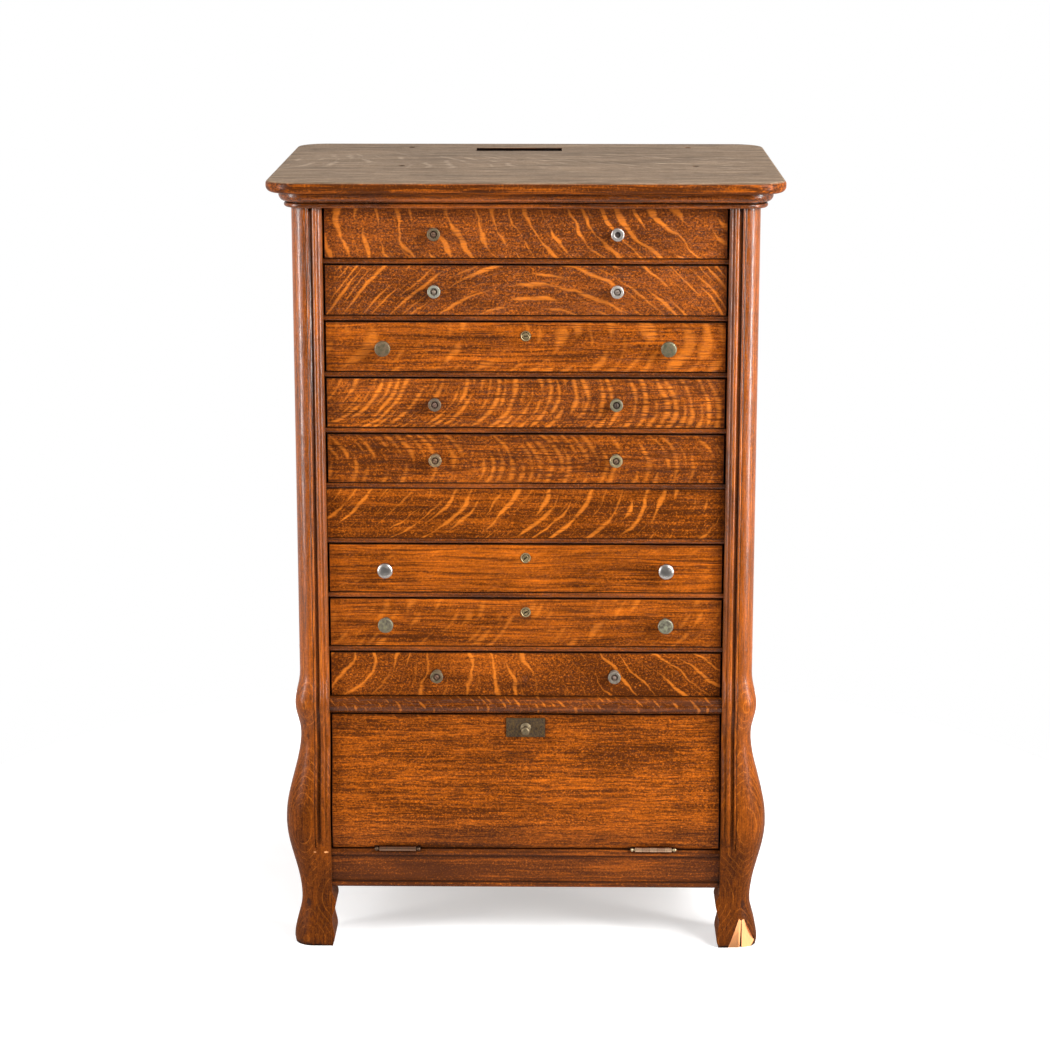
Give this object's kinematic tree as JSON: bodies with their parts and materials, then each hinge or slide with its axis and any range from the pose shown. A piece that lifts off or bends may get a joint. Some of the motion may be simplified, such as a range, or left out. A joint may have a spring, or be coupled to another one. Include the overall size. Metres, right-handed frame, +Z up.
{
  "type": "cash register base",
  "caption": "Oak cash register base: tall case of shallow drawers over a bulged drop-front cupboard on curved legs, with bolt holes and a slot for the register in its top.",
  "frame": {"origin": "on the floor below the middle of the top board", "axes": "+Z up, -Y towards the drawer fronts, +X to the right of a person facing the drawers"},
  "size_m": [0.686, 0.533, 1.066],
  "materials": {
    "oak": "worn satin varnish",
    "plain_wood": "bare, darkened",
    "brass": "tarnished",
    "nickel": "worn nickel plate",
    "steel": "dull"
  },
  "bodies": {
    "case": {"top_board": "oak", "cornice_moulding": "oak", "front_leg_right": "oak", "front_leg_left": "oak", "rear_leg_right": "oak", "rear_leg_left": "oak", "waist_rail": "oak", "bottom_rail": "oak", "side_rails": "oak", "side_panels": "oak", "top_rails": "plain_wood", "back_panel": "plain_wood", "dust_board": "plain_wood", "cupboard_floor": "plain_wood", "drawer_dividers": "oak", "drawer_runners": "plain_wood", "drawer_stops": "plain_wood", "blank_front": "oak", "hinge_frame_leaves": "brass", "hinge_frame_screws": "steel", "hinge_pins": "brass", "latch_strike": "brass"},
    "door": {"door_panel": "oak", "hinge_door_leaves": "brass", "hinge_door_screws": "steel", "latch_plate": "brass"},
    "latch": {"latch_knob": "brass"},
    "drawer_1": {"drawer_1_front": "oak", "drawer_1_box": "plain_wood", "drawer_1_knobs": "nickel"},
    "drawer_2": {"drawer_2_front": "oak", "drawer_2_box": "plain_wood", "drawer_2_knobs": "brass"},
    "drawer_3": {"drawer_3_front": "oak", "drawer_3_box": "plain_wood", "drawer_3_knobs": "brass", "drawer_3_lock_case": "brass"},
    "drawer_4": {"drawer_4_front": "oak", "drawer_4_box": "plain_wood", "drawer_4_knobs": "brass"},
    "drawer_5": {"drawer_5_front": "oak", "drawer_5_box": "plain_wood", "drawer_5_knobs": "brass"},
    "drawer_7": {"drawer_7_front": "oak", "drawer_7_box": "plain_wood", "drawer_7_knobs": "nickel", "drawer_7_lock_case": "brass"},
    "drawer_8": {"drawer_8_front": "oak", "drawer_8_box": "plain_wood", "drawer_8_knobs": "brass", "drawer_8_lock_case": "brass"},
    "drawer_9": {"drawer_9_front": "oak", "drawer_9_box": "plain_wood", "drawer_9_knobs": "brass"},
    "plug_3": {"drawer_3_lock_plug": "brass"},
    "bolt_3": {"drawer_3_lock_bolt": "brass"},
    "plug_7": {"drawer_7_lock_plug": "brass"},
    "bolt_7": {"drawer_7_lock_bolt": "brass"},
    "plug_8": {"drawer_8_lock_plug": "brass"},
    "bolt_8": {"drawer_8_lock_bolt": "brass"}
  },
  "joints": [
    {"name": "drawer_1_slide", "type": "slide", "parent": "case", "child": "drawer_1", "axis": [0, -1, 0], "range_m": [0, 0.3]},
    {"name": "drawer_2_slide", "type": "slide", "parent": "case", "child": "drawer_2", "axis": [0, -1, 0], "range_m": [0, 0.3]},
    {"name": "drawer_3_slide", "type": "slide", "parent": "case", "child": "drawer_3", "axis": [0, -1, 0], "range_m": [0, 0.3]},
    {"name": "drawer_4_slide", "type": "slide", "parent": "case", "child": "drawer_4", "axis": [0, -1, 0], "range_m": [0, 0.3]},
    {"name": "drawer_5_slide", "type": "slide", "parent": "case", "child": "drawer_5", "axis": [0, -1, 0], "range_m": [0, 0.3]},
    {"name": "drawer_7_slide", "type": "slide", "parent": "case", "child": "drawer_7", "axis": [0, -1, 0], "range_m": [0, 0.3]},
    {"name": "drawer_8_slide", "type": "slide", "parent": "case", "child": "drawer_8", "axis": [0, -1, 0], "range_m": [0, 0.3]},
    {"name": "drawer_9_slide", "type": "slide", "parent": "case", "child": "drawer_9", "axis": [0, -1, 0], "range_m": [0, 0.3]},
    {"name": "door_hinge", "type": "hinge", "parent": "case", "child": "door", "pos_m": [0, -0.24002, 0.1415], "axis": [1, 0, 0], "range_deg": [0, 140]},
    {"name": "latch_turn", "type": "hinge", "parent": "door", "child": "latch", "pos_m": [0, -0.2218, 0.3119], "axis": [0, 1, 0], "range_deg": [0, 90]},
    {"name": "plug_3_turn", "type": "hinge", "parent": "drawer_3", "child": "plug_3", "pos_m": [0, -0.22, 0.857], "axis": [0, 1, 0], "range_deg": [0, 90]},
    {"name": "bolt_3_slide", "type": "slide", "parent": "drawer_3", "child": "bolt_3", "axis": [0, 0, 1], "range_m": [0, 0.0062]},
    {"name": "plug_7_turn", "type": "hinge", "parent": "drawer_7", "child": "plug_7", "pos_m": [0, -0.22, 0.5522], "axis": [0, 1, 0], "range_deg": [0, 90]},
    {"name": "bolt_7_slide", "type": "slide", "parent": "drawer_7", "child": "bolt_7", "axis": [0, 0, 1], "range_m": [0, 0.0062]},
    {"name": "plug_8_turn", "type": "hinge", "parent": "drawer_8", "child": "plug_8", "pos_m": [0, -0.22, 0.476], "axis": [0, 1, 0], "range_deg": [0, 90]},
    {"name": "bolt_8_slide", "type": "slide", "parent": "drawer_8", "child": "bolt_8", "axis": [0, 0, 1], "range_m": [0, 0.0062]}
  ],
  "couplings": [
    {"joint": "plug_3_turn", "follows": "bolt_3_slide", "rad_per_m": 253.35},
    {"joint": "plug_7_turn", "follows": "bolt_7_slide", "rad_per_m": 253.35},
    {"joint": "plug_8_turn", "follows": "bolt_8_slide", "rad_per_m": 253.35}
  ]
}
